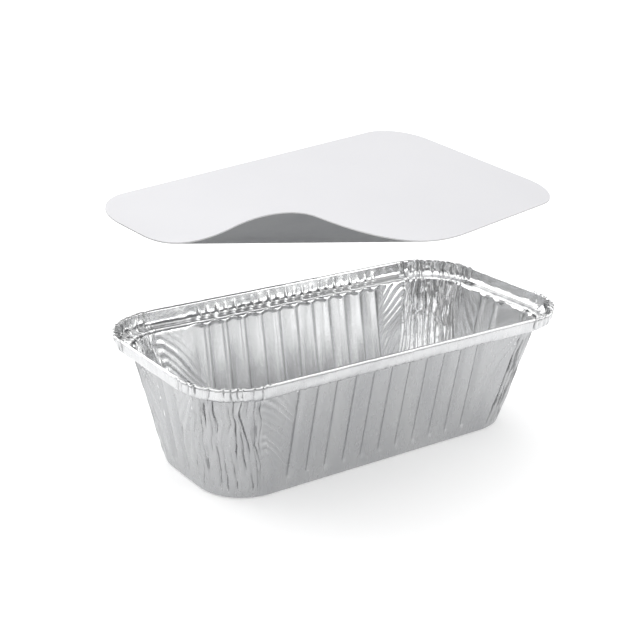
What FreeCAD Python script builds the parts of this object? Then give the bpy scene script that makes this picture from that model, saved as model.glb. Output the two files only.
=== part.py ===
import FreeCAD, Part
import math
import os

from FreeCAD import Placement, Rotation, Vector

# Foil tray with a flat board lid, in millimetres. The origin is the middle of the tray's flat
# base, on the surface that it stands on. X runs along the tray, Y across it and Z is up.

# Tray, overall
rim_length = 218.0
rim_width = 111.4
tray_height = 65.4
foil = 0.1

# Rim: a flat flange round the mouth and an upright lip with a folded edge
flange_width = 8.0
lip_height = 7.6
lip_lean = 1.0
hem_height = 1.3
hem_depth = 0.7
corner_hem_depth = 0.35
corner_lip_bulge = 1.2
corner_lip_ripple = 0.6
shoulder_radius = 3.0

# Wall
wall_angle = 10.9
wall_corner_radius = 23.4
base_corner_radius = 24.3
base_bend_radius = 2.5

# Grooves pressed into the walls from outside
groove_pitch = 10.64
groove_width = 4.4
groove_floor = 2.2
groove_depth = 0.9
groove_shift = 3.0
groove_foot = 6.0
groove_end_slope = 2.4

# Pleats gathered at the corners
pleats_per_corner = 9
pleat_depth = 1.1
pleat_wander = 0.16
pleat_reach = 1.6
pleat_land = 0.4

# Lid: a board sheet that lies on the flange inside the lip, here lifted off, with one corner curled up
lid_thickness = 0.5
lid_play = 0.25
lid_corner_radius = 22.5
lid_corner_facets = 10
lid_centre_x = -23.2
lid_centre_y = -31.0
lid_centre_height = 134.1
lid_turn = 14.9
lid_pitch = -0.7
lid_tilt = 10.0

# Curl of the lid's near left corner: it bends tightly first and then more gently
curl_heading = -29.7
curl_offset = 37.0
curl_start_radius = 33.6
curl_end_radius = 74.0
curl_tight_length = 32.4
curl_strip_width = 4.0

flange_height = tray_height - lip_height
hem_foot = tray_height - hem_height
straight = "straight"
turn = "turn"


def wall_reach(height):
    """How far the wall stands out at a height, counted from its top edge. It is negative below it."""
    return -(flange_height - height) * math.tan(math.radians(wall_angle))


def bend_points(radius):
    """Start, middle and end of a bend between the horizontal and the wall, as shares of its place.

    Each is (distance back along the horizontal, distance up), with the wall leaning outwards."""
    turning = math.radians(90.0 - wall_angle)
    tangent = radius * math.tan(turning / 2)
    middle_out = radius * math.sin(turning / 2)
    middle_up = radius * (1 - math.cos(turning / 2))
    end_out = radius * math.sin(turning)
    end_up = radius * (1 - math.cos(turning))
    return [(-tangent, 0.0), (middle_out - tangent, middle_up), (end_out - tangent, end_up)]


def lip_reach(height):
    """How far the lip's outer face stands out from the wall's top edge at a height."""
    return flange_width - hem_depth - lip_lean * (tray_height - height) / lip_height


class SectionPoint:
    """One corner of the tray's section: how far out and how high it is, and what shows there."""

    def __init__(self, out, height, groove=0.0, pleat=0.0, lip=0.0, hem=0.0):
        self.out = out
        self.height = height
        self.groove = groove
        self.pleat = pleat
        self.lip = lip
        self.hem = hem

    def moved(self, step):
        return SectionPoint(self.out + step.x, self.height + step.z, self.groove, self.pleat, self.lip)


def wall_point(height, groove, pleat):
    return SectionPoint(wall_reach(height), height, groove, pleat)


def under_section():
    """The foil's underside, from the base's edge up the wall, out along the flange and up the lip."""
    foot = [(wall_reach(0.0) + out, up) for out, up in bend_points(base_bend_radius)]
    head = [(-out, flange_height - up) for out, up in bend_points(shoulder_radius)]
    groove_top = head[2][1]
    middle = (groove_foot + groove_top) / 2
    return [
        SectionPoint(foot[0][0], foot[0][1]),
        SectionPoint(foot[1][0], foot[1][1], pleat=0.15),
        SectionPoint(foot[2][0], foot[2][1], pleat=0.35),
        wall_point(groove_foot, 0.0, 0.6),
        wall_point(groove_foot + groove_end_slope, 1.0, 0.75),
        wall_point(middle, 1.0, 1.0),
        wall_point(groove_top - groove_end_slope, 1.0, 0.95),
        wall_point(groove_top, 0.0, 0.85),
        SectionPoint(head[1][0], head[1][1], pleat=0.5),
        SectionPoint(head[0][0], head[0][1], pleat=0.2),
        SectionPoint(lip_reach(flange_height), flange_height, lip=0.3),
        SectionPoint(lip_reach(hem_foot), hem_foot, lip=1.0),
        SectionPoint(lip_reach(tray_height), tray_height, lip=1.0),
    ]


def upper_section(under):
    """The same run of the foil on its upper side, one sheet thickness away."""
    level = Vector(1, 0, 0)
    runs = [level]
    for start, end in zip(under, under[1:]):
        runs.append(Vector(end.out - start.out, 0, end.height - start.height).normalize())
    runs.append(runs[-1])
    upper = []
    for point, before, after in zip(under, runs, runs[1:]):
        normal_before = Vector(-before.z, 0, before.x)
        normal_after = Vector(-after.z, 0, after.x)
        middle = (normal_before + normal_after).normalize()
        upper.append(point.moved(middle * (foil / middle.dot(normal_before))))
    upper[-1].height = tray_height
    return upper


def folded_edge():
    """The outside of the lip's folded edge, from its foot to the top of the lip."""
    return [
        SectionPoint(lip_reach(hem_foot), hem_foot, lip=1.0, hem=1.0),
        SectionPoint(lip_reach(tray_height), tray_height, lip=1.0, hem=1.0),
    ]


def uneven(first, second):
    """A steady, irregular number from 0 to 1 for two whole numbers, so that no two pleats are alike."""
    return 0.5 + 0.5 * math.sin(12.9898 * first + 4.1414 * second + 1.7 * first * second)


class Station:
    """A place along the tray's outline, the same one at every height."""

    def __init__(self, side, kind, place, groove=0.0, pleat=0, crease=0):
        self.side = side
        self.kind = kind
        self.place = place
        self.groove = groove
        self.pleat = pleat
        self.crease = crease


def side_stations(side):
    """Grooves of one wall, as many as its foot has room for. Each has two edges and a narrower floor."""
    base_edge = under_section()[0].out
    along_x = side % 2 == 1
    shift = groove_shift if along_x else 0.0
    radius = corner_radius(base_edge)
    pleats = pleat_reach * radius / wall_corner_radius + pleat_land
    half_room = half_sizes(side, base_edge)[1] - radius - pleats - shift
    count = max(math.floor((2 * half_room - groove_width) / groove_pitch) + 1, 0)
    stations = []
    for index in range(count):
        middle = (index - (count - 1) / 2) * groove_pitch - shift
        for offset, share in (
            (-groove_width / 2, 0.0),
            (-groove_floor / 2, 1.0),
            (groove_floor / 2, 1.0),
            (groove_width / 2, 0.0),
        ):
            stations.append(Station(side, straight, middle + offset, groove=share))
    return stations


def corner_stations(side):
    """Pleats of the corner after a side: creases and crests by turns, past both ends of the turn."""
    count = 2 * pleats_per_corner + 1
    arc = wall_corner_radius * math.pi / 2
    run = arc + 2 * pleat_reach
    stations = []
    for index in range(count):
        distance = run * index / (count - 1) - pleat_reach
        crease = index % 2
        stations.append(Station(side, turn, distance / arc, pleat=crease, crease=1 + index + 40 * side))
    return stations


def half_sizes(side, out):
    """Half the tray across a side and along it, for the line that far out from the wall's top edge."""
    half_x = rim_length / 2 - flange_width + out
    half_y = rim_width / 2 - flange_width + out
    return (half_x, half_y) if side % 2 == 0 else (half_y, half_x)


def corner_radius(out):
    """Radius of the tray's corner in plan, for the line that far out, within what the walls leave."""
    if out >= 0:
        return wall_corner_radius + out
    share = out / wall_reach(0.0)
    radius = wall_corner_radius + share * (base_corner_radius - wall_corner_radius)
    return min(radius, min(half_sizes(0, out)) - pleat_reach - pleat_land)


def outline_point(station, row, out):
    """Place in plan of a station on the line that far out, and the direction that is outwards there."""
    half_out, half_along = half_sizes(station.side, out)
    radius = corner_radius(out)
    angle = station.side * math.pi / 2
    outward = Vector(math.cos(angle), math.sin(angle), 0)
    along = Vector(-math.sin(angle), math.cos(angle), 0)
    if station.kind == straight:
        return outward * half_out + along * station.place, outward
    share = station.place
    if 0 < share < 1:
        share += pleat_wander * (uneven(station.crease, row) - 0.5) * share * (1 - share)
    arc = radius * math.pi / 2
    centre = outward * (half_out - radius) + along * (half_along - radius)
    bend = min(max(share, 0.0), 1.0) * math.pi / 2
    direction = outward * math.cos(bend) + along * math.sin(bend)
    tangent = along * math.cos(bend) - outward * math.sin(bend)
    beyond = (share - min(max(share, 0.0), 1.0)) * arc
    return centre + direction * radius + tangent * beyond, direction


def section_loop(point, row, stations):
    """The closed line that one corner of the section draws round the tray. Rows differ in their pleats."""
    loop = []
    for station in stations:
        out = point.out
        at_corner = station.kind == turn
        out += point.hem * (corner_hem_depth if at_corner else hem_depth)
        place, direction = outline_point(station, row, out)
        move = -groove_depth * point.groove * station.groove
        if at_corner:
            depth = pleat_depth * (0.45 + 0.55 * uneven(station.crease, row // 3))
            move -= point.pleat * station.pleat * depth
            bulge = corner_lip_bulge * math.sin(math.pi * min(max(station.place, 0.0), 1.0))
            ripple = corner_lip_ripple * station.pleat * uneven(station.crease, 0)
            move += point.lip * (bulge - ripple)
        loop.append(place + direction * move + Vector(0, 0, point.height))
    return loop


def facets(corners):
    """Flat faces over three or four corners: one if they are in a plane, else two triangles."""
    if len(corners) == 3:
        return [Part.Face(Part.makePolygon(corners + corners[:1]))]
    first, second, third, fourth = corners
    normal = (second - first).cross(third - first)
    if normal.Length > 0 and abs((fourth - first).dot(normal) / normal.Length) < 1e-7:
        return [Part.Face(Part.makePolygon(corners + corners[:1]))]
    return facets([first, second, third]) + facets([first, third, fourth])


def skin(lower, upper, faces_out):
    """Faces between two lines of the tray that have the same stations, facing out of the tray or into it."""
    faces = []
    for index in range(len(lower)):
        following = (index + 1) % len(lower)
        corners = [lower[index], lower[following], upper[following], upper[index]]
        if not faces_out:
            corners = [corners[0]] + corners[:0:-1]
        faces += facets(corners)
    return faces


def solid_of(faces):
    """One closed solid bounded by faces that meet along their edges."""
    shell = Part.makeShell(faces)
    shell.sewShape()
    solid = Part.makeSolid(shell)
    if solid.Volume < 0:
        solid.reverse()
    return solid


def foil_tray():
    """The tray, one pressed sheet: each line of its section drawn round, and skins between them."""
    stations = []
    for side in range(4):
        stations += side_stations(side) + corner_stations(side)
    under = under_section()
    hem_row = len(under) - 2
    lines = []
    for section in (under, upper_section(under)):
        rows = [min(row, hem_row) for row in range(len(section))]
        lines.append([section_loop(point, row, stations) for row, point in zip(rows, section)])
    under_lines, upper_lines = lines
    edge_lines = [section_loop(point, hem_row, stations) for point in folded_edge()]
    outside = under_lines[:-1] + edge_lines + upper_lines[-1:]
    faces = []
    for lower, upper in zip(outside, outside[1:]):
        faces += skin(lower, upper, True)
    for lower, upper in zip(upper_lines, upper_lines[1:]):
        faces += skin(lower, upper, False)
    for flat in (under_lines[0][::-1], upper_lines[0]):
        faces.append(Part.Face(Part.makePolygon(flat + flat[:1])))
    return solid_of(faces)


def rounded_outline(length, width, radius):
    """Corners of a rounded rectangle in plan, anticlockwise."""
    points = []
    for quarter, (sign_x, sign_y) in enumerate(((1, 1), (-1, 1), (-1, -1), (1, -1))):
        for step in range(lid_corner_facets + 1):
            angle = (quarter + step / lid_corner_facets) * math.pi / 2
            x = sign_x * (length / 2 - radius) + radius * math.cos(angle)
            y = sign_y * (width / 2 - radius) + radius * math.sin(angle)
            points.append((x, y))
    return points


def past_curl_line(point):
    """How far a point of the flat lid lies past the line where the curl starts."""
    heading = math.radians(curl_heading)
    return point[0] * math.sin(heading) - point[1] * math.cos(heading) - curl_offset


def clipped(points, limit, keep_above):
    """The part of a flat outline past the curl line by more, or by less, than a limit."""
    sign = 1 if keep_above else -1
    kept = []
    for index, point in enumerate(points):
        following = points[(index + 1) % len(points)]
        here = sign * (past_curl_line(point) - limit)
        there = sign * (past_curl_line(following) - limit)
        if here >= 0:
            kept.append(point)
        if here * there < 0:
            share = here / (here - there)
            x = point[0] + share * (following[0] - point[0])
            y = point[1] + share * (following[1] - point[1])
            kept.append((x, y))
    return kept


def curl_lines(reach):
    """Where each strip of the curl starts: distance along the sheet, place, height and slope there."""
    count = math.ceil(reach / curl_strip_width)
    lines = [(0.0, 0.0, 0.0, 0.0)]
    for _ in range(count):
        along, place, height, slope = lines[-1]
        share = min((along + curl_strip_width / 2) / curl_tight_length, 1.0)
        curvature = 1 / curl_start_radius + share * (1 / curl_end_radius - 1 / curl_start_radius)
        new_slope = slope + curvature * curl_strip_width
        mean = (slope + new_slope) / 2
        place += curl_strip_width * math.cos(mean)
        height += curl_strip_width * math.sin(mean)
        lines.append((along + curl_strip_width, place, height, new_slope))
    return lines


def curled_point(point, start, end, side):
    """Where a point of the flat lid goes in a strip of the curl. side is -1 below and 1 above."""
    heading = math.radians(curl_heading)
    across = Vector(math.sin(heading), -math.cos(heading), 0)
    along = Vector(math.cos(heading), math.sin(heading), 0)
    distance = past_curl_line(point)
    share = (distance - start[0]) / (end[0] - start[0])
    ends = []
    for _, place, height, slope in (start, end):
        offset = side * lid_thickness / 2
        ends.append(Vector(place - offset * math.sin(slope), 0, height + offset * math.cos(slope)))
    middle = ends[0] + (ends[1] - ends[0]) * share
    run = point[0] * along.x + point[1] * along.y
    return along * run + across * (curl_offset + middle.x) + Vector(0, 0, middle.z)


def flat_point(point, side):
    return Vector(point[0], point[1], side * lid_thickness / 2)


def lid_strip(points, place_on, limits):
    """Faces of one flat strip of the lid: top, bottom and the parts of its rim between two lines."""
    bottom = [place_on(point, -1) for point in points]
    top = [place_on(point, 1) for point in points]
    faces = [Part.Face(Part.makePolygon(bottom + bottom[:1]))]
    faces.append(Part.Face(Part.makePolygon(top + top[:1])))
    for index, point in enumerate(points):
        following = (index + 1) % len(points)
        distances = [past_curl_line(point), past_curl_line(points[following])]
        shared = [all(abs(distance - limit) < 1e-6 for distance in distances) for limit in limits]
        if not any(shared):
            faces += facets([bottom[index], bottom[following], top[following], top[index]])
    return faces


def card_lid():
    """The lid, one sheet of board: a flat part and the strips of its curled corner."""
    inset = flange_width - lip_reach(flange_height) + foil + lid_play
    length = rim_length - 2 * inset
    width = rim_width - 2 * inset
    outline = rounded_outline(length, width, lid_corner_radius)
    reach = max(past_curl_line(point) for point in outline)
    lines = curl_lines(reach)
    faces = lid_strip(clipped(outline, 0.0, False), flat_point, [0.0])
    for start, end in zip(lines, lines[1:]):
        strip = clipped(clipped(outline, start[0], True), end[0], False)
        if len(strip) < 3:
            continue

        def on_strip(point, side, start=start, end=end):
            return curled_point(point, start, end, side)

        faces += lid_strip(strip, on_strip, [start[0], end[0]])
    lid = solid_of(faces)
    centre = Vector(lid_centre_x, lid_centre_y, lid_centre_height)
    lid.Placement = Placement(centre, Rotation(lid_turn, lid_pitch, lid_tilt))
    return lid


os.makedirs("parts", exist_ok=True)
foil_tray().exportStep("parts/foil_tray.step")
card_lid().exportStep("parts/card_lid.step")
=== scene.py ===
import math

import bmesh
import bpy
import numpy as np
from mathutils import Matrix, Vector


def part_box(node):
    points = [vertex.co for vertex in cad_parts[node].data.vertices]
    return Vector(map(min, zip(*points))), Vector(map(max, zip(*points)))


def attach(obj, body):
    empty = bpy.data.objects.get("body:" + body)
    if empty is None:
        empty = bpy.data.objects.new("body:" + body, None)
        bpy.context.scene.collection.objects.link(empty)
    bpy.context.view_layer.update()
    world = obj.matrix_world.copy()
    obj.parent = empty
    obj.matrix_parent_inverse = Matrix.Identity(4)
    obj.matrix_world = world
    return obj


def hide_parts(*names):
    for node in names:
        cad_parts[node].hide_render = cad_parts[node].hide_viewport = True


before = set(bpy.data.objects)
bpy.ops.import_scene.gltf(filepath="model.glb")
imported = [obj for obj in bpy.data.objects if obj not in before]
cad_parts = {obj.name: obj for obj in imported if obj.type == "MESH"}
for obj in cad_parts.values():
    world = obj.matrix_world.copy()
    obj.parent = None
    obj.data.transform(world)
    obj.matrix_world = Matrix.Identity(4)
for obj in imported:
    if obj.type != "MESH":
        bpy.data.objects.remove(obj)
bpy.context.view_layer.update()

# Foil tray and its lid. Lengths below are in millimetres, and meshes are scaled to metres as they are made.
MM = 0.001
SEED = 11

# Tray, overall, as the frame has it
tray_low, tray_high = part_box("foil_tray")
rim_length = (tray_high.x - tray_low.x) / MM
rim_width = (tray_high.y - tray_low.y) / MM
tray_height = (tray_high.z - tray_low.z) / MM

# Tray, section
foil = 0.1
flange_width = 8.0
lip_height = 7.6
lip_lean = 1.0
lip_foot_radius = 2.3
hem_height = 1.3
hem_depth = 0.7
corner_hem_depth = 0.3
shoulder_radius = 3.0
wall_angle = math.radians(10.9)
wall_corner_radius = 23.4
base_corner_radius = 24.3
base_bend_radius = 2.5
flange_height = tray_height - lip_height
hem_foot = tray_height - hem_height

# Heights of the mesh's rows up the wall. The middle ones are close together, for the corners' sake, and the
# ribbed part of the wall keeps one in coarse_every of them.
low_rows = (3.2, 4.6, 6.0, 7.2, 8.4)
middle_rows = np.linspace(9.3, 49.5, 48)
coarse_every = 6
top_rows = (50.4, 51.3, 52.1, 52.9, 53.7, 54.5)
base_rows_inset = (3.0, 0.8)
flange_row_gap = 0.9

# Ribs pressed inwards all along the walls. Seen from inside, the strips between them lie back as recesses,
# and under the flange a small step closes each recess.
rib_pitch = 10.64
rib_width = 4.4
rib_crest = 0.3
rib_depth = 1.25
rib_foot = 5.7
rib_foot_slope = 3.2
rib_head = 56.2
rib_offsets = (-2.15, -1.4, -0.6, 0.0, 0.6, 1.4, 2.15)
recess_offsets = (3.0, 4.2, rib_pitch / 2, rib_pitch - 4.2, rib_pitch - 3.0)
long_ribs = 11
short_ribs = 2
long_rib_shift = 3.0
cup_height = 56.7
cup_sag = 1.2
cup_step = 0.9
cup_depth = 1.3
recess_bulge = 0.14
rib_end_fade = (-1.0, 5.0)
base_fade_heights = (0.2, 2.5)

# Flutes where the lip leaves the flange, two to each rib, and the flange's slight sag
flute_pitch = rib_pitch / 2
flute_depth = 0.9
flute_height = 6.0
flute_reach = 1.9
flute_width = 1.2
flute_limit = 62.0
front_flutes = 0.4
flute_numbers = 80
flange_sag = 0.7

# Faint streaks up the walls, and waves over the sheet: shortest and longest length, and height
streak_depth = 0.018
wave_count = 7
sheet_waves = (14.0, 34.0, 0.035)
lip_waves = (3.0, 6.5, 0.042)

# Points round the folded edge: outwards as a share of its depth, and upwards as a share of its height
fold_points = ((0.55, -0.16), (0.97, 0.12), (1.0, 0.62), (0.72, 0.93), (0.12, 1.0))
fold_inside_gap = 0.05

# Gathered corners: creases pressed in between strips that tilt, bulge and dent at random
creases_per_corner = 14
crease_width = 0.30
crease_depth = 1.75
crease_wander = 1.5
strip_tilt = 0.50
strip_crown = 0.25
strip_dent = 0.17
strip_step = 0.10
corner_foot = (2.0, 9.0)
corner_growth = (20.0, 50.0)
corner_lip_bulge = 1.0
corner_lip_crease = 0.75
corner_lip_step = 0.28
corner_fold_jag = 0.2
corner_fold_notch = 0.3
crease_jitter = 0.26
crease_lean = 0.5
crease_margin = 0.012
crease_cut_range = (-0.3, 0.9)
crease_cut_limit = (-0.35, 1.0)
margin_columns_long = 20
margin_columns_short = 12

# How fast the corners' random lines change along the section: the distance between their knots
drift_knots = 17.0
fine_drift_knots = 6.0
offset_knots = 14.0
slope_knots = 11.0
crown_knots = 16.0
dent_knots = 3.2
cut_knots = 13.0

# Ripples that fan out from the corners over the flat ends of the walls. fans has each wall's two ends, first
# the one that comes first going round. "spread" ripples come from a point at the top, and their first number
# is how many fit in a quarter turn. "edge" ripples leave the corner's edge one above the other, and their
# first number is the spacing. Then come depth and sharpness, and the slope of "edge" ripples at the top.
fan_reach = 21.0
fan_bend = 0.010
fan_steeper = 0.9
fan_curve = (0.004, 0.010)
fan_corner_share = 0.3
pole_back_range = (7.0, 13.0)
pole_up_range = (61.0, 68.0)
fan_knots = 40
fan_foot = (4.0, 16.0)
fan_top_fade = 2.2
fan_growth = (8.0, 36.0)
fan_edge_fade = (-5.0, 0.5)
fans = (
    (("spread", 10.0, 0.36, 0.5, 0.0), ("spread", 9.0, 0.36, 0.4, 0.0)),
    (("edge", 4.6, 0.27, 0.5, 0.60), ("edge", 4.6, 0.36, 0.2, 0.80)),
    (("spread", 9.0, 0.40, 0.5, 0.0), ("spread", 10.0, 0.36, 0.5, 0.0)),
    (("edge", 4.2, 0.48, 0.6, 0.65), ("spread", 7.0, 0.42, 0.2, 0.0)),
)


def smooth_step(low, high, value):
    """Rises smoothly from 0 at low to 1 at high."""
    share = np.clip((value - low) / (high - low), 0.0, 1.0)
    return share * share * (3 - 2 * share)


def wobble(random, count, places, step):
    """Smooth random lines from -1 to 1, one for each of count, with a new knot every step along places."""
    low = float(np.min(places))
    knots = int(math.ceil((float(np.max(places)) - low) / step)) + 3
    values = random.uniform(-1.0, 1.0, (count, knots))
    at = (places - low) / step
    index = np.floor(at).astype(int)
    share = at - index
    share = share * share * (3 - 2 * share)
    return values[:, index] * (1 - share) + values[:, index + 1] * share


def wall_reach(height):
    """Outward place of the wall at a height, from where its line meets the flange."""
    return -(flange_height - height) * math.tan(wall_angle)


def lip_reach(height):
    """Outward place of the lip at a height, from the same line."""
    return flange_width - hem_depth - lip_lean * (tray_height - height) / lip_height


class Rows:
    """The tray's section under the foil, as points with their outward normals, from the base to the lip."""

    def __init__(self):
        self.out = []
        self.up = []
        self.normal_out = []
        self.normal_up = []
        self.coarse = []

    def add(self, out, up, angle, coarse=True):
        """angle turns the normal from straight down at 0 to straight out at a quarter turn."""
        self.coarse.append(coarse)
        self.out.append(out)
        self.up.append(up)
        self.normal_out.append(math.sin(angle))
        self.normal_up.append(-math.cos(angle))

    def arrays(self):
        return [np.array(part) for part in (self.out, self.up, self.normal_out, self.normal_up, self.coarse)]


def tray_rows():
    """Rows of the section, and the height at which the wall meets the shoulder.

    The ribbed part of each wall keeps only the coarse rows. The corners and the ends next to them keep all.
    """
    rows = Rows()
    wall_turn = math.pi / 2 - wall_angle
    tangent = base_bend_radius * math.tan(wall_turn / 2)
    edge = wall_reach(0.0) - tangent
    for inset in base_rows_inset:
        rows.add(edge - inset, 0.0, 0.0)
    for angle in np.linspace(0.0, wall_turn, 5):
        out = edge + base_bend_radius * math.sin(angle)
        rows.add(out, base_bend_radius * (1 - math.cos(angle)), angle)
    shoulder_tangent = shoulder_radius * math.tan(wall_turn / 2)
    wall_top = flange_height - shoulder_radius * (1 - math.cos(wall_turn))
    for height in low_rows:
        rows.add(wall_reach(height), height, wall_turn)
    for step, height in enumerate(middle_rows):
        rows.add(wall_reach(height), height, wall_turn, step % coarse_every == coarse_every - 1)
    for height in top_rows:
        rows.add(wall_reach(height), height, wall_turn)
    for angle in np.linspace(wall_turn, 0.0, 6):
        out = shoulder_tangent - shoulder_radius * math.sin(angle)
        rows.add(out, flange_height - shoulder_radius * (1 - math.cos(angle)), angle)
    lip_turn = math.pi / 2 - math.atan(lip_lean / lip_height)
    lip_tangent = lip_foot_radius * math.tan(lip_turn / 2)
    lip_foot = lip_reach(flange_height)
    rows.add(lip_foot - lip_tangent - flange_row_gap, flange_height, 0.0)
    for angle in np.linspace(0.0, lip_turn, 6):
        out = lip_foot - lip_tangent + lip_foot_radius * math.sin(angle)
        rows.add(out, flange_height + lip_foot_radius * (1 - math.cos(angle)), angle)
    bend_top = flange_height + lip_foot_radius * (1 - math.cos(lip_turn))
    for height in np.linspace(bend_top, hem_foot, 5)[1:]:
        rows.add(lip_reach(height), height, lip_turn)
    return rows, wall_top


def column_list():
    """Columns of the tray's mesh round the outline: (side, kind, place, extra) for each.

    fixed: place is along the side. margin: place is the share of the way from extra to the corner.
    turn: place is the crease and extra the part of it.
    """
    columns = []
    for side in range(4):
        along_x = side % 2 == 1
        count = long_ribs if along_x else short_ribs
        shift = -long_rib_shift if along_x else 0.0
        margins = margin_columns_long if along_x else margin_columns_short
        ribs = [(index - (count - 1) / 2) * rib_pitch + shift for index in range(count)]
        fixed = []
        for rib in ribs:
            for offset in rib_offsets:
                fixed.append(rib + offset)
            if rib != ribs[-1]:
                for offset in recess_offsets:
                    fixed.append(rib + offset)
        for step in range(margins, 0, -1):
            columns.append((side, "margin", step / margins, fixed[0]))
        for place in fixed:
            columns.append((side, "fixed", place, 0.0))
        for step in range(1, margins + 1):
            columns.append((side, "margin", step / margins, fixed[-1]))
        for crease in range(creases_per_corner):
            for part in range(5):
                columns.append((side, "turn", crease, part))
    return columns


class Tray:
    """Works out the pressed sheet: where each column of each row lies before and after the pressing."""

    def __init__(self):
        self.random = np.random.default_rng(SEED)
        rows, self.wall_top = tray_rows()
        self.out, self.up, self.normal_out, self.normal_up, self.coarse = rows.arrays()
        steps = np.hypot(np.diff(self.out), np.diff(self.up))
        self.run = np.concatenate([[0.0], np.cumsum(steps)])
        self.columns = column_list()
        self.half_x = rim_length / 2 - flange_width + self.out
        self.half_y = rim_width / 2 - flange_width + self.out
        share = np.clip(self.out / wall_reach(0.0), 0.0, 2.0)
        inner = wall_corner_radius + share * (base_corner_radius - wall_corner_radius)
        self.radius = np.where(self.out >= 0, wall_corner_radius + self.out, inner)
        self.crease_tables()
        self.place_columns()

    def crease_tables(self):
        """Random lines that make the creases and strips of each corner differ."""
        random = self.random
        count = creases_per_corner
        arc = wall_corner_radius * math.pi / 2
        self.crease_share = []
        self.strip_offset = []
        self.strip_slope = []
        self.strip_crown = []
        self.strip_dents = []
        self.crease_cut = []
        self.lip_offset = []
        for _ in range(4):
            even = (np.arange(count) + 0.5) / count
            jitter = random.uniform(-crease_jitter, crease_jitter, count) / count
            drift = wobble(random, count, self.run, drift_knots)
            drift = drift + 0.5 * wobble(random, count, self.run, fine_drift_knots)
            drift = (drift + np.roll(drift, 1, 0) + np.roll(drift, -1, 0)) / 2
            swing = crease_wander * drift / arc
            lean = random.uniform(-crease_lean, crease_lean, (count, 1)) * (self.run - self.run.mean())
            lean = lean / self.run.max() / arc
            shares = (even + jitter)[:, None] + swing + lean
            self.crease_share.append(np.sort(np.clip(shares, crease_margin, 1 - crease_margin), axis=0))
            self.strip_offset.append(wobble(random, count + 1, self.run, offset_knots))
            self.strip_slope.append(wobble(random, count + 1, self.run, slope_knots))
            self.strip_crown.append(wobble(random, count + 1, self.run, crown_knots))
            self.strip_dents.append(wobble(random, count + 1, self.run, dent_knots))
            cut = wobble(random, count, self.run, cut_knots) + random.uniform(*crease_cut_range, (count, 1))
            self.crease_cut.append(np.clip(cut, *crease_cut_limit))
            self.lip_offset.append(random.uniform(-1.0, 1.0, count + 1))

    def place_columns(self):
        """Plan positions before pressing: along or round the outline, with the outward direction."""
        rows = len(self.out)
        count = len(self.columns)
        self.x = np.zeros((count, rows))
        self.y = np.zeros((count, rows))
        self.dir_x = np.zeros((count, rows))
        self.dir_y = np.zeros((count, rows))
        self.along = np.zeros((count, rows))
        self.edge_gap = np.zeros((count, rows))
        self.turn_share = np.full((count, rows), -1.0)
        arc = self.radius * math.pi / 2
        for index, (side, kind, place, extra) in enumerate(self.columns):
            angle = side * math.pi / 2
            half_out, half_along = self.half_x, self.half_y
            if side % 2 == 1:
                half_out, half_along = self.half_y, self.half_x
            outward = (math.cos(angle), math.sin(angle))
            along = (-math.sin(angle), math.cos(angle))
            end = half_along - self.radius
            if kind in ("fixed", "margin"):
                if kind == "fixed":
                    spot = np.full(rows, place)
                else:
                    spot = extra + place * (math.copysign(1.0, extra) * end - extra)
                self.x[index] = outward[0] * half_out + along[0] * spot
                self.y[index] = outward[1] * half_out + along[1] * spot
                self.dir_x[index] = outward[0]
                self.dir_y[index] = outward[1]
                self.along[index] = spot
                self.edge_gap[index] = end - np.abs(spot)
                continue
            share = self.crease_column(side, place, extra)
            bend = share * math.pi / 2
            direction = (
                outward[0] * np.cos(bend) + along[0] * np.sin(bend),
                outward[1] * np.cos(bend) + along[1] * np.sin(bend),
            )
            inset = half_out - self.radius
            self.x[index] = outward[0] * inset + along[0] * end + direction[0] * self.radius
            self.y[index] = outward[1] * inset + along[1] * end + direction[1] * self.radius
            self.dir_x[index], self.dir_y[index] = direction
            self.turn_share[index] = share
            self.edge_gap[index] = -np.minimum(share, 1 - share) * arc

    def crease_column(self, side, crease, part):
        """Parts 0 to 2 are a crease's edge, bottom and other edge. Parts 3 and 4 are in the next strip."""
        shares = self.crease_share[side]
        half = crease_width / (self.radius * math.pi / 2)
        here = shares[crease]
        if part < 3:
            return here + (part - 1) * half
        following = shares[crease + 1] - half if crease + 1 < creases_per_corner else np.ones(len(here))
        start = here + half
        return start + (following - start) * (part - 2) / 3

    def press(self):
        """How far each point is pressed outwards, in millimetres."""
        depth = self.ribs() + self.fans() + self.corners() + self.flutes() + self.flange_dip() + self.dents()
        return depth * self.base_fade()

    def base_fade(self):
        """The flat base stays unpressed."""
        return smooth_step(*base_fade_heights, self.up)[None, :]

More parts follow.
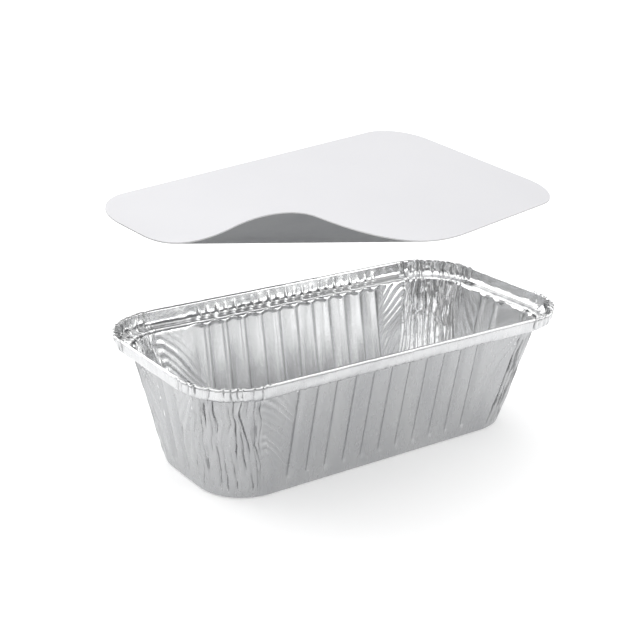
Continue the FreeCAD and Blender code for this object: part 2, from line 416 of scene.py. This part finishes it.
    def ribs(self):
        """Ribs, the steps under the flange that close the recesses, and faint drawing streaks."""
        depth = np.zeros_like(self.x)
        height = self.up[None, :]
        on_wall = smooth_step(rib_foot - 0.1, rib_foot + rib_foot_slope, height)
        fade = 1 - smooth_step(rib_head, flange_height - 0.1, self.up)
        for side in range(4):
            along_x = side % 2 == 1
            count = long_ribs if along_x else short_ribs
            shift = -long_rib_shift if along_x else 0.0
            reach = count * rib_pitch / 2
            chosen = [i for i, c in enumerate(self.columns) if c[0] == side and c[1] in ("fixed", "margin")]
            spot = self.along[chosen] - shift
            phase = spot / rib_pitch + (0.5 if count % 2 else 0.0)
            from_rib = np.abs((phase - np.floor(phase)) - 0.5) * rib_pitch
            beyond = np.abs(spot) > (count - 1) / 2 * rib_pitch
            end_gap = np.abs(spot) - (count - 1) / 2 * rib_pitch
            from_rib = np.where(beyond, end_gap, from_rib)
            rib = 1 - np.clip((from_rib - rib_crest) / (rib_width / 2 - rib_crest), 0, 1)
            land = np.clip((from_rib - rib_width / 2) / (rib_pitch / 2 - rib_width / 2), 0.0, 1.0)
            outer = smooth_step(reach + rib_end_fade[0], reach + rib_end_fade[1], np.abs(spot))
            depth[chosen] -= rib_depth * rib * on_wall * fade[None, :]
            cup_line = cup_height - cup_sag * (1 - land) ** 2
            ledge = smooth_step(cup_line - cup_step, cup_line, height) * (1 - outer)
            depth[chosen] -= cup_depth * ledge * (1 - rib) * fade[None, :]
            bulge = recess_bulge * land * (2 - land) * (1 - outer)
            depth[chosen] += bulge * on_wall * fade[None, :]
            streak = self.random.normal(0.0, streak_depth, (len(chosen), 1))
            depth[chosen] += streak * on_wall * fade[None, :]
        return depth

    def fans(self):
        """Curved ripples from each corner's edge over the flat end of the wall next to it."""
        depth = np.zeros_like(self.x)
        height = np.broadcast_to(self.up[None, :], self.x.shape)
        zone = 1 - smooth_step(self.wall_top, self.wall_top + fan_top_fade, height)
        zone = zone * smooth_step(*fan_foot, height)
        zone = zone * (self.out < 1.0)[None, :]
        for side in range(4):
            for end in (-1, 1):
                pole_back = self.random.uniform(*pole_back_range)
                pole_up = self.random.uniform(*pole_up_range)
                pattern, ripples, deep, sharp, slope = fans[side][0 if end < 0 else 1]
                curve = self.random.uniform(*fan_curve)
                start = self.random.uniform(0.0, 1.0)
                strength = self.random.uniform(-1.0, 1.0, fan_knots)
                chosen = []
                for index, (column_side, kind, place, extra) in enumerate(self.columns):
                    if column_side == side and kind == "margin" and math.copysign(1, extra) == end:
                        chosen.append(index)
                    corner = side if end > 0 else (side - 1) % 4
                    from_end = place if end > 0 else creases_per_corner - place
                    near = from_end < creases_per_corner * fan_corner_share
                    if column_side == corner and kind == "turn" and near:
                        chosen.append(index)
                gap = self.edge_gap[chosen]
                level = height[chosen]
                away = np.hypot(pole_up - level, gap + pole_back)
                if pattern == "spread":
                    angle = np.arctan2(pole_up - level, gap + pole_back)
                    phase = (angle - curve * away) / (math.pi / 2) * ripples + start
                else:
                    fall = slope + fan_steeper * (1 - level / flange_height)
                    phase = (level + np.maximum(gap, 0.0) * fall + fan_bend * gap * gap) / ripples + start
                    phase += 0.2 * np.sin(level / 4.7 + 6 * start)
                    phase += 0.1 * np.sin(gap / 3.3 + level / 6.1)
                phase += 0.07 * np.sin(away / 3.1 + 5 * start)
                soft = np.cos(2 * math.pi * phase)
                wave = (1 - sharp) * soft + sharp * (1 - 2 * np.abs(np.sin(math.pi * phase)) ** 0.7)
                knot = np.clip(np.floor(phase).astype(int), 0, fan_knots - 2)
                share = phase - np.floor(phase)
                power = 0.7 + 0.6 * (strength[knot] * (1 - share) + strength[knot + 1] * share)
                power = power * (0.35 + 0.65 * smooth_step(*fan_growth, level))
                fade_in = smooth_step(*fan_edge_fade, gap)
                fade_out = 1 - smooth_step(0.4 * fan_reach, fan_reach, gap)
                depth[chosen] -= deep * wave * power * fade_in * fade_out * zone[chosen]
        return depth

    def corners(self):
        """Creased and dented strips of the corners, and the lip's bulges and notches above them."""
        depth = np.zeros_like(self.x)
        wall = smooth_step(*corner_foot, self.up) * (0.75 + 0.5 * smooth_step(*corner_growth, self.up))
        flange = smooth_step(0.0, 2.0, self.out)
        lip = smooth_step(flange_height + 0.3, flange_height + 2.0, self.up)
        calm = 1 - 0.6 * flange * (1 - lip)
        for index, (side, kind, crease, part) in enumerate(self.columns):
            if kind != "turn":
                continue
            left = crease
            right = crease + 1
            if part <= 0:
                strip, across = left, 1.0
            elif part >= 2:
                strip, across = right, (part - 2) / 3
            else:
                strip, across = right, 0.0
            value = self.strip_value(side, strip, across)
            if part == 1:
                value = (value + self.strip_value(side, left, 1.0)) / 2
                cut = self.crease_cut[side][crease]
                value = value - crease_depth * cut * np.where(cut > 0, 1.0, 0.6)
            edge = smooth_step(0.0, 0.08, np.minimum(self.turn_share[index], 1 - self.turn_share[index]))
            depth[index] += value * wall * calm * edge
            bulge = corner_lip_bulge * np.sin(math.pi * self.turn_share[index])
            offset = self.lip_offset[side][strip] * corner_lip_step
            notch = corner_lip_crease * abs(self.lip_offset[side][crease]) if part == 1 else 0.0
            depth[index] += lip * edge * (bulge + offset - notch)
        return depth

    def strip_value(self, side, strip, across):
        """How far a strip is pressed outwards, at a share of the way across it."""
        centred = 2 * across - 1
        slope = strip_tilt * self.strip_slope[side][strip] * centred
        crown = strip_crown * self.strip_crown[side][strip] * (1 - centred * centred)
        dents = strip_dent * self.strip_dents[side][strip] * (1 - 0.6 * centred * centred)
        return slope + crown + dents + strip_step * self.strip_offset[side][strip]

    def flutes(self):
        """Small folds across the foot of the lip on the two long sides."""
        depth = np.zeros_like(self.x)
        rise = np.clip((self.up - flange_height) / flute_height, 0.0, 1.0)
        foot = lip_reach(flange_height)
        back = np.clip((foot - self.out) / flute_reach, 0.0, 1.0)
        reach = np.where(self.up > flange_height + 0.01, 1 - rise, 1 - back)
        reach[self.out < foot - flute_reach] = 0.0
        width = flute_width * (0.25 + 0.75 * (1 - rise))
        for side in (1, 3):
            strength = self.random.uniform(0.65, 1.15, flute_numbers) * (1.0 if side == 1 else front_flutes)
            chosen = [i for i, c in enumerate(self.columns) if c[0] == side and c[1] in ("fixed", "margin")]
            spot = self.along[chosen] + long_rib_shift
            number = np.round(spot / flute_pitch)
            gap = np.abs(spot - number * flute_pitch)
            shape = np.clip(1 - gap / width[None, :], 0.0, 1.0)
            limit = 1 - smooth_step(flute_limit - 4.0, flute_limit, np.abs(spot))
            power = strength[(number + flute_numbers // 2).astype(int)]
            depth[chosen] -= flute_depth * power * shape * reach[None, :] * limit
        return depth

    def flange_dip(self):
        """The flange sags a little between the shoulder and the lip."""
        share = np.clip(self.out / lip_reach(flange_height), 0.0, 1.0)
        return flange_sag * np.sin(math.pi * share)[None, :] * np.ones_like(self.x)

    def dents(self):
        """Soft waves over the whole sheet, and finer ones on the lip."""
        depth = np.zeros_like(self.x)
        height = np.broadcast_to(self.up[None, :], self.x.shape)
        lip = smooth_step(flange_height, flange_height + 1.5, height)
        for (low, high, size), mask in ((sheet_waves, 1.0), (lip_waves, lip)):
            for _ in range(wave_count):
                direction = self.random.normal(0.0, 1.0, 3)
                direction /= np.linalg.norm(direction)
                turns = 2 * math.pi / self.random.uniform(low, high)
                shift = self.random.uniform(0.0, 2 * math.pi)
                path = self.x * direction[0] + self.y * direction[1] + height * direction[2]
                depth += size * mask * np.sin(turns * path + shift)
        return depth

    def skin(self, depth, thickness):
        """Vertex positions of one side of the foil."""
        move_out = (depth - thickness) * self.normal_out[None, :]
        move_up = (depth - thickness) * self.normal_up[None, :]
        x = self.x + self.dir_x * move_out
        y = self.y + self.dir_y * move_out
        z = np.maximum(self.up[None, :] + move_up, thickness)
        return np.stack([x, y, z], axis=2)

    def rim(self, depth):
        """Rows over the folded edge, from the lip's outside, round the fold, to its inside."""
        corner = (self.turn_share[:, -1] >= 0).astype(float)
        ends = np.minimum(self.turn_share[:, -1], 1 - self.turn_share[:, -1])
        corner *= smooth_step(0.0, 0.05, ends)
        fold = hem_depth + (corner_hem_depth - hem_depth) * corner
        jag = np.zeros(len(self.columns))
        for index, (side, kind, crease, part) in enumerate(self.columns):
            if kind == "turn":
                strip = crease if part == 0 else crease + 1
                jag[index] = corner_fold_jag * abs(self.lip_offset[side][strip])
                jag[index] += corner_fold_notch if part == 1 else 0.0
        top = tray_height - jag * corner
        rows = []
        lean = lip_reach(tray_height) - lip_reach(hem_foot)
        for outwards, share in fold_points:
            out = lip_reach(hem_foot) + lean * share + outwards * fold
            rows.append((out, hem_foot + (top - hem_foot) * share))
        inner = lip_reach(tray_height) - foil - fold_inside_gap
        rows.append((np.full(len(top), inner), top))
        placed = []
        for out, height in rows:
            step = out - self.out[-1] + depth[:, -1]
            x = self.x[:, -1] + self.dir_x[:, -1] * step
            y = self.y[:, -1] + self.dir_y[:, -1] * step
            placed.append(np.stack([x, y, height], axis=1))
        return np.stack(placed, axis=1)

    def mesh(self):
        """The whole sheet as one closed skin: outside, folded edge and inside."""
        depth = self.press()
        under = self.skin(depth, 0.0)
        upper = self.skin(depth, foil)
        rim = self.rim(depth)
        grid = np.concatenate([under, rim, upper[:, ::-1]], axis=1)
        limit = np.array([rim_length / 2, rim_width / 2, tray_height])
        grid = np.clip(grid, -limit, limit)
        kept = self.kept_rows(rim.shape[1])
        columns, rows, _ = grid.shape
        number = np.cumsum(kept.reshape(-1)).reshape(columns, rows) - 1
        faces = []
        starts = []
        for here in range(columns):
            beside = (here + 1) % columns
            shared = np.flatnonzero(kept[here] & kept[beside])
            for first, last in zip(shared[:-1], shared[1:]):
                up_side = [int(number[beside, row]) for row in range(first, last + 1) if kept[beside, row]]
                down_side = [int(number[here, row]) for row in range(last, first, -1) if kept[here, row]]
                faces.append([int(number[here, first])] + up_side + down_side)
                starts.append(first)
        faces.append(number[::-1, 0].tolist())
        faces.append(number[:, -1].tolist())
        starts += [0, rows]
        mesh = bpy.data.meshes.new("tray_foil")
        mesh.from_pydata((grid[kept] * MM).tolist(), [], faces)
        lip_start = int(np.flatnonzero(self.up > flange_height + 0.01)[0])
        # Slot 0 is the outside wall and base, 1 the lip's outside, and 2 the rest of the fold, the inside
        # and the base's top. The tints of slots 0 and 1 are painted shade.
        slots = [(start >= lip_start) + int(start >= len(self.out) + 1) for start in starts]
        mesh.polygons.foreach_set("material_index", slots)
        mesh.validate()
        mesh.update()
        mesh.polygons.foreach_set("use_smooth", np.ones(len(mesh.polygons), bool))
        crumple = smooth_step(-2.5, 3.0, -self.edge_gap)
        lip = smooth_step(flange_height - 0.5, flange_height + 1.0, self.up)
        lip = np.broadcast_to(lip[None, :], crumple.shape)
        rim_rows = np.repeat(crumple[:, -1:], rim.shape[1], axis=1)
        masks = np.concatenate([crumple, rim_rows, crumple[:, ::-1]], axis=1)
        lips = np.concatenate([lip, np.full(rim_rows.shape, 0.15), lip[:, ::-1]], axis=1)
        for name, values in (("crumple", masks), ("lip", lips)):
            attribute = mesh.attributes.new(name, "FLOAT", "POINT")
            attribute.data.foreach_set("value", values[kept].astype(np.float32))
        return mesh

    def kept_rows(self, rim_rows):
        """Which rows each column keeps, over the outside, the folded edge and the inside."""
        total = 2 * len(self.out) + rim_rows
        kept = np.ones((len(self.columns), total), bool)
        coarse = np.concatenate([self.coarse, np.ones(rim_rows, bool), self.coarse[::-1]])
        for index, column in enumerate(self.columns):
            if column[1] == "fixed":
                kept[index] = coarse
        return kept


# Lid: a board sheet with one corner curled up
lid_thickness = 0.5
lid_play = 0.3
lid_corner_radius = 22.5
lid_centre = Vector((-23.2, -31.0, 134.1))
lid_turn = math.radians(14.9)
lid_pitch = math.radians(-0.7)
lid_tilt = math.radians(10.0)
curl_heading = math.radians(-29.7)
curl_offset = 37.0
curl_start_radius = 33.6
curl_end_radius = 74.0
curl_tight_length = 32.4
curl_strip = 1.0
curl_sample = 0.25
lid_strip = 12.0
lid_strips_behind = 15
lid_strips_beside = 10
lid_corner_steps = 28


def lid_outline():
    """Outline of the flat sheet, with rounded corners. It fits inside the lip with some play."""
    inset = flange_width - lip_reach(flange_height) + foil + lid_play
    length = rim_length - 2 * inset
    width = rim_width - 2 * inset
    points = []
    for quarter, (sign_x, sign_y) in enumerate(((1, 1), (-1, 1), (-1, -1), (1, -1))):
        for step in range(lid_corner_steps + 1):
            angle = (quarter + step / lid_corner_steps) * math.pi / 2
            x = sign_x * (length / 2 - lid_corner_radius) + lid_corner_radius * math.cos(angle)
            y = sign_y * (width / 2 - lid_corner_radius) + lid_corner_radius * math.sin(angle)
            points.append((x, y, 0.0))
    return points


def curl_table(reach):
    """Distance along the sheet past the curl's line, with the place, height and slope there."""
    count = int(reach / curl_sample) + 8
    along = np.arange(count) * curl_sample
    share = np.clip(along / curl_tight_length, 0.0, 1.0)
    curvature = 1 / curl_start_radius + share * (1 / curl_end_radius - 1 / curl_start_radius)
    slope = np.concatenate([[0.0], np.cumsum((curvature[1:] + curvature[:-1]) / 2 * curl_sample)])
    mean = (slope[1:] + slope[:-1]) / 2
    place = np.concatenate([[0.0], np.cumsum(np.cos(mean) * curl_sample)])
    height = np.concatenate([[0.0], np.cumsum(np.sin(mean) * curl_sample)])
    return along, place, height, slope


def lid_mesh():
    """The lid as a closed mesh, bent along its curl and held above the tray.

    Also gives the edges of its outline, and how many points each of its two sides has.
    """
    sheet = bmesh.new()
    sheet.faces.new([sheet.verts.new(point) for point in lid_outline()])
    across = Vector((math.sin(curl_heading), -math.cos(curl_heading), 0))
    along = Vector((math.cos(curl_heading), math.sin(curl_heading), 0))
    reach = max(vertex.co.dot(across) for vertex in sheet.verts) - curl_offset
    cuts = [(across, curl_offset + curl_strip * step) for step in range(int(reach / curl_strip) + 1)]
    cuts += [(across, curl_offset - lid_strip * step) for step in range(1, lid_strips_behind + 1)]
    cuts += [(along, lid_strip * step) for step in range(-lid_strips_beside, lid_strips_beside + 1)]
    for normal, distance in cuts:
        geometry = sheet.verts[:] + sheet.edges[:] + sheet.faces[:]
        bmesh.ops.bisect_plane(sheet, geom=geometry, dist=1e-5, plane_co=normal * distance, plane_no=normal)
    distances, places, heights, slopes = curl_table(reach)
    sheet.verts.ensure_lookup_table()
    sheet.faces.ensure_lookup_table()
    rows = []
    for vertex in sheet.verts:
        past = vertex.co.dot(across) - curl_offset
        run = vertex.co.dot(along)
        if past <= 0:
            place, height, slope = past, 0.0, 0.0
        else:
            place = float(np.interp(past, distances, places))
            height = float(np.interp(past, distances, heights))
            slope = float(np.interp(past, distances, slopes))
        middle = along * run + across * (curl_offset + place) + Vector((0, 0, height))
        normal = Vector((0, 0, math.cos(slope))) - across * math.sin(slope)
        rows.append((middle, normal))
    faces = [[vertex.index for vertex in face.verts] for face in sheet.faces]
    rim_edges = []
    for edge in sheet.edges:
        if len(edge.link_faces) == 1:
            loop = edge.link_loops[0]
            rim_edges.append((loop.vert.index, loop.link_loop_next.vert.index))
    sheet.free()
    turn = Matrix.Rotation(lid_turn, 3, "Z") @ Matrix.Rotation(lid_pitch, 3, "Y")
    turn = turn @ Matrix.Rotation(lid_tilt, 3, "X")
    count = len(rows)
    vertices = []
    for side in (1, -1):
        for middle, normal in rows:
            point = turn @ (middle + normal * (side * lid_thickness / 2)) + lid_centre
            vertices.append(point * MM)
    all_faces = faces + [[index + count for index in reversed(face)] for face in faces]
    slots = [0] * len(faces) + [1] * len(faces)
    for first, second in rim_edges:
        all_faces.append([second, first, first + count, second + count])
        slots.append(2)
    mesh = bpy.data.meshes.new("lid_card")
    mesh.from_pydata(vertices, [], all_faces)
    mesh.polygons.foreach_set("material_index", slots)
    mesh.validate()
    mesh.update()
    mesh.polygons.foreach_set("use_smooth", np.ones(len(mesh.polygons), bool))
    return mesh, rim_edges, count


def new_object(name, mesh):
    """An object with this mesh, in the scene."""
    piece = bpy.data.objects.new(name, mesh)
    bpy.context.scene.collection.objects.link(piece)
    return piece


class Nodes:
    """Short way to add and join shader nodes of one material."""

    def __init__(self, name):
        self.material = bpy.data.materials.new(name)
        self.material.use_nodes = True
        self.tree = self.material.node_tree
        self.shader = self.tree.nodes["Principled BSDF"]
        self.place = self.add("ShaderNodeTexCoord").outputs["Object"]

    def add(self, kind, **settings):
        node = self.tree.nodes.new(kind)
        for name, value in settings.items():
            setattr(node, name, value)
        return node

    def join(self, source, target):
        self.tree.links.new(source, target)

    def noise(self, scale, detail):
        """Noise whose scale is given per axis, in turns per metre."""
        mapping = self.add("ShaderNodeMapping")
        mapping.inputs["Scale"].default_value = scale
        self.join(self.place, mapping.inputs["Vector"])
        noise = self.add("ShaderNodeTexNoise")
        noise.inputs["Scale"].default_value = 1.0
        noise.inputs["Detail"].default_value = detail
        self.join(mapping.outputs["Vector"], noise.inputs["Vector"])
        return noise.outputs["Fac"]

    def ramp(self, source, low, high, dark, light):
        """Goes from the dark tint to the light one as source goes from low to high."""
        ramp = self.add("ShaderNodeValToRGB")
        ramp.color_ramp.elements[0].position = low
        ramp.color_ramp.elements[1].position = high
        ramp.color_ramp.elements[0].color = (*dark, 1.0)
        ramp.color_ramp.elements[1].color = (*light, 1.0)
        self.join(source, ramp.inputs["Fac"])
        return ramp.outputs["Color"]

    def span(self, source, low, high):
        """Stretches a value from 0 to 1 over low to high."""
        span = self.add("ShaderNodeMapRange")
        span.inputs["To Min"].default_value = low
        span.inputs["To Max"].default_value = high
        self.join(source, span.inputs["Value"])
        return span.outputs["Result"]

    def attribute(self, name):
        node = self.add("ShaderNodeAttribute", attribute_name=name)
        return node.outputs["Fac"]

    def bump(self, height, depth, strength=1.0, under=None):
        """Bump of a height from 0 to 1 that stands for a depth in metres."""
        bump = self.add("ShaderNodeBump")
        bump.inputs["Distance"].default_value = depth
        self.join(height, bump.inputs["Height"])
        if isinstance(strength, float):
            bump.inputs["Strength"].default_value = strength
        else:
            self.join(strength, bump.inputs["Strength"])
        if under is not None:
            self.join(under, bump.inputs["Normal"])
        return bump.outputs["Normal"]


# The foil's finishes: satin outside, the lip in between, bright inside. The outside and the lip are rougher,
# and their darker tints are painted shade: darker copies of the inside foil's tint.
# Each has its darkest and lightest tint, its smoothest and roughest value, and the depth in metres of the
# thin streaks at the corners.
foil_finishes_and_shade = (
    ("foil_satin_painted_shade", (0.445, 0.45, 0.46), (0.495, 0.50, 0.505), 0.22, 0.34, 0.00005),
    ("foil_lip_painted_shade", (0.63, 0.635, 0.645), (0.69, 0.695, 0.70), 0.22, 0.34, 0.00005),
    ("foil_bright", (0.75, 0.755, 0.76), (0.81, 0.813, 0.816), 0.15, 0.24, 0.00012),
)


def foil_material(name, dark, light, smoothest, roughest, fine):
    """One side of the foil. fine is the depth of the thin streaks at the corners, in metres."""
    nodes = Nodes(name)
    tint = nodes.ramp(nodes.noise((70, 70, 24), 3.0), 0.3, 0.7, dark, light)
    nodes.join(tint, nodes.shader.inputs["Base Color"])
    nodes.shader.inputs["Metallic"].default_value = 1.0
    rough = nodes.span(nodes.noise((400, 400, 60), 4.0), smoothest, roughest)
    nodes.join(rough, nodes.shader.inputs["Roughness"])
    crumple = nodes.attribute("crumple")
    lip = nodes.attribute("lip")
    streaks = nodes.bump(nodes.noise((900, 900, 22), 3.0), 0.00006)
    creases = nodes.bump(nodes.noise((520, 520, 160), 2.0), 0.00028, crumple, streaks)
    hairs = nodes.bump(nodes.noise((1300, 1300, 110), 2.0), fine, crumple, creases)
    dimples = nodes.bump(nodes.noise((420, 420, 420), 2.0), 0.0001, lip, hairs)
    grain = nodes.bump(nodes.noise((3200, 3200, 3200), 2.0), 0.000012, 1.0, dimples)
    nodes.join(grain, nodes.shader.inputs["Normal"])
    return nodes.material


# Darkest and lightest tints of the lid's board, its foil-faced underside and its cut edge. The underside's
# tint is painted shade: the foil is darkened to stand in for the shade on the curled corner's underside.
board_tints = ((0.716, 0.714, 0.736), (0.731, 0.729, 0.750))
laminate_painted_shade_tints = ((0.235, 0.24, 0.25), (0.27, 0.275, 0.28))
cut_edge_tints = ((0.50, 0.50, 0.51), (0.66, 0.66, 0.66))


def board_material():
    nodes = Nodes("white_board")
    clouds = nodes.noise((18, 18, 18), 2.0)
    tint = nodes.ramp(clouds, 0.35, 0.7, *board_tints)
    nodes.join(tint, nodes.shader.inputs["Base Color"])
    rough = nodes.span(nodes.noise((600, 600, 600), 3.0), 0.42, 0.56)
    nodes.join(rough, nodes.shader.inputs["Roughness"])
    waves = nodes.bump(nodes.noise((28, 28, 28), 1.0), 0.00025)
    fibres = nodes.bump(nodes.noise((2600, 1400, 2600), 4.0), 0.00001, 1.0, waves)
    nodes.join(fibres, nodes.shader.inputs["Normal"])
    return nodes.material


def laminate_material():
    nodes = Nodes("foil_laminate_painted_shade")
    # The dark tint is painted shade, a darkened copy of the foil.
    tint = nodes.ramp(nodes.noise((40, 40, 40), 2.0), 0.3, 0.7, *laminate_painted_shade_tints)
    nodes.join(tint, nodes.shader.inputs["Base Color"])
    nodes.shader.inputs["Metallic"].default_value = 0.9
    rough = nodes.span(nodes.noise((300, 300, 300), 3.0), 0.42, 0.52)
    nodes.join(rough, nodes.shader.inputs["Roughness"])
    grain = nodes.bump(nodes.noise((2400, 700, 2400), 3.0), 0.000008)
    nodes.join(grain, nodes.shader.inputs["Normal"])
    return nodes.material


def cut_edge_material():
    nodes = Nodes("cut_board_edge")
    tint = nodes.ramp(nodes.noise((900, 900, 5000), 3.0), 0.3, 0.7, *cut_edge_tints)
    nodes.join(tint, nodes.shader.inputs["Base Color"])
    nodes.shader.inputs["Roughness"].default_value = 0.8
    fibres = nodes.bump(nodes.noise((1800, 1800, 6000), 3.0), 0.00003)
    nodes.join(fibres, nodes.shader.inputs["Normal"])
    return nodes.material


def make_tray():
    piece = new_object("tray_foil", Tray().mesh())
    for finish in foil_finishes_and_shade:
        piece.data.materials.append(foil_material(*finish))
    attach(piece, "root")
    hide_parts("foil_tray")


def make_lid():
    mesh, rim_edges, count = lid_mesh()
    keys = set()
    for first, second in rim_edges:
        keys.add(frozenset((first, second)))
        keys.add(frozenset((first + count, second + count)))
    sharp = [frozenset(edge.vertices) in keys for edge in mesh.edges]
    attribute = mesh.attributes.new("sharp_edge", "BOOLEAN", "EDGE")
    attribute.data.foreach_set("value", sharp)
    piece = new_object("lid_card", mesh)
    for material in (board_material(), laminate_material(), cut_edge_material()):
        piece.data.materials.append(material)
    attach(piece, "root")
    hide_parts("card_lid")


# Camera, worked out from the photograph's perspective
camera_azimuth = math.radians(-35.91)
camera_elevation = math.radians(19.94)
camera_roll = math.radians(1.44)
camera_distance = 649.4
camera_aim_right = -9.32
camera_aim_up = 58.70
focal_pixels = 1267.0
frame_pixels = 640.0
sensor_width = 36.0


def make_camera():
    """The camera, turned round the object, raised and rolled a little."""
    turn = math.cos(camera_elevation)
    back = Vector((math.sin(camera_azimuth), -math.cos(camera_azimuth), 0)) * turn
    back.z = math.sin(camera_elevation)
    level = (-back).cross(Vector((0, 0, 1))).normalized()
    above = level.cross(-back)
    right = level * math.cos(camera_roll) + above * math.sin(camera_roll)
    up = above * math.cos(camera_roll) - level * math.sin(camera_roll)
    place = back * camera_distance + right * camera_aim_right + up * camera_aim_up
    data = bpy.data.cameras.new("camera")
    data.sensor_width = sensor_width
    data.lens = focal_pixels / frame_pixels * sensor_width
    data.clip_start = 0.01
    data.clip_end = 60.0
    camera = bpy.data.objects.new("camera", data)
    bpy.context.scene.collection.objects.link(camera)
    rotation = Matrix((right, up, back)).transposed().to_4x4()
    camera.matrix_world = Matrix.Translation(place * MM) @ rotation
    bpy.context.scene.camera = camera


def make_floor():
    """A long white sheet, lit softly from below, from just in front of the object to far behind it."""
    right = Vector((math.cos(camera_azimuth), math.sin(camera_azimuth), 0))
    away = Vector((-math.sin(camera_azimuth), math.cos(camera_azimuth), 0))
    corners = []
    for side, distance in ((-1, -floor_front), (1, -floor_front), (1, floor_back), (-1, floor_back)):
        corners.append(right * (side * floor_half_width) + away * distance)
    mesh = bpy.data.meshes.new("floor")
    mesh.from_pydata(corners, [], [(0, 1, 2, 3)])
    floor = new_object("floor", mesh)
    nodes = Nodes("pale_floor")
    nodes.shader.inputs["Base Color"].default_value = floor_tint
    nodes.shader.inputs["Roughness"].default_value = 0.9
    nodes.shader.inputs["Specular IOR Level"].default_value = 0.0
    nodes.shader.inputs["Emission Color"].default_value = white
    nodes.shader.inputs["Emission Strength"].default_value = floor_glow
    floor.data.materials.append(nodes.material)


def make_world():
    """Soft studio light: large lights behind, at both sides, in front and overhead, and a dim room."""
    world = bpy.data.worlds.new("studio")
    bpy.context.scene.world = world
    world.use_nodes = True
    tree = world.node_tree
    background = tree.nodes["Background"]
    place = tree.nodes.new("ShaderNodeTexCoord").outputs["Generated"]

    def lobe(direction, low, high, strength):
        along = tree.nodes.new("ShaderNodeVectorMath")
        along.operation = "DOT_PRODUCT"
        along.inputs[1].default_value = Vector(direction).normalized()
        tree.links.new(place, along.inputs[0])
        span = tree.nodes.new("ShaderNodeMapRange")
        span.interpolation_type = "SMOOTHSTEP"
        span.inputs["From Min"].default_value = low
        span.inputs["From Max"].default_value = high
        span.inputs["To Max"].default_value = strength
        tree.links.new(along.outputs["Value"], span.inputs["Value"])
        return span.outputs["Result"]

    total = None
    for direction, low, high, strength in studio_lights:
        part = lobe(direction, low, high, strength)
        add = tree.nodes.new("ShaderNodeMath")
        add.inputs[0].default_value = room_light
        if total is not None:
            tree.links.new(total, add.inputs[0])
        tree.links.new(part, add.inputs[1])
        total = add.outputs["Value"]
    background.inputs["Color"].default_value = white
    tree.links.new(total, background.inputs["Strength"])


def make_area(name, place, target, size, power):
    """A rectangular light that faces target. Lengths are in metres and power is in watts."""
    data = bpy.data.lights.new(name, "AREA")
    data.shape = "RECTANGLE"
    data.size = size[0]
    data.size_y = size[1]
    data.energy = power
    light = bpy.data.objects.new(name, data)
    bpy.context.scene.collection.objects.link(light)
    light.location = place
    light.rotation_mode = "QUATERNION"
    light.rotation_quaternion = (Vector(target) - Vector(place)).to_track_quat("-Z", "Y")


# Studio: each light's direction, the cosines where it starts and where it is full, and its strength
studio_lights = (
    ((-0.36, 0.86, 0.38), 0.86, 0.96, 2.20),
    ((0.30, 0.86, 0.40), 0.90, 0.98, 0.58),
    ((0.45, 0.62, 0.66), 0.88, 0.97, 1.10),
    ((-0.75, 0.65, 0.28), 0.88, 0.96, 0.80),
    ((-1.00, -0.15, 0.30), 0.84, 0.95, 0.50),
    ((1.00, 0.10, 0.30), 0.86, 0.97, 0.70),
    ((0.57, -0.77, 0.24), 0.88, 0.97, 1.90),
    ((-0.08, 0.05, 1.00), 0.80, 0.97, 1.40),
    ((0.10, -0.30, 1.00), 0.30, 0.80, 0.37),
)
room_light = 0.15
white = (1.0, 1.0, 1.0, 1.0)
side_light_place = (-0.55, -0.05, 0.60)
side_light_target = (0.0, 0.0, 0.05)
side_light_size = (0.2, 0.4)
side_light_watts = 0.4

# Floor, in metres: how far it reaches in front of the object, behind it and to each side
floor_tint = (0.90, 0.90, 0.90, 1.0)
floor_glow = 0.34
floor_front = 0.26
floor_back = 8.0
floor_half_width = 0.75

make_camera()
make_floor()
make_world()
make_area("left_side", side_light_place, side_light_target, side_light_size, side_light_watts)
make_tray()
make_lid()
bpy.context.scene.view_settings.view_transform = "Standard"
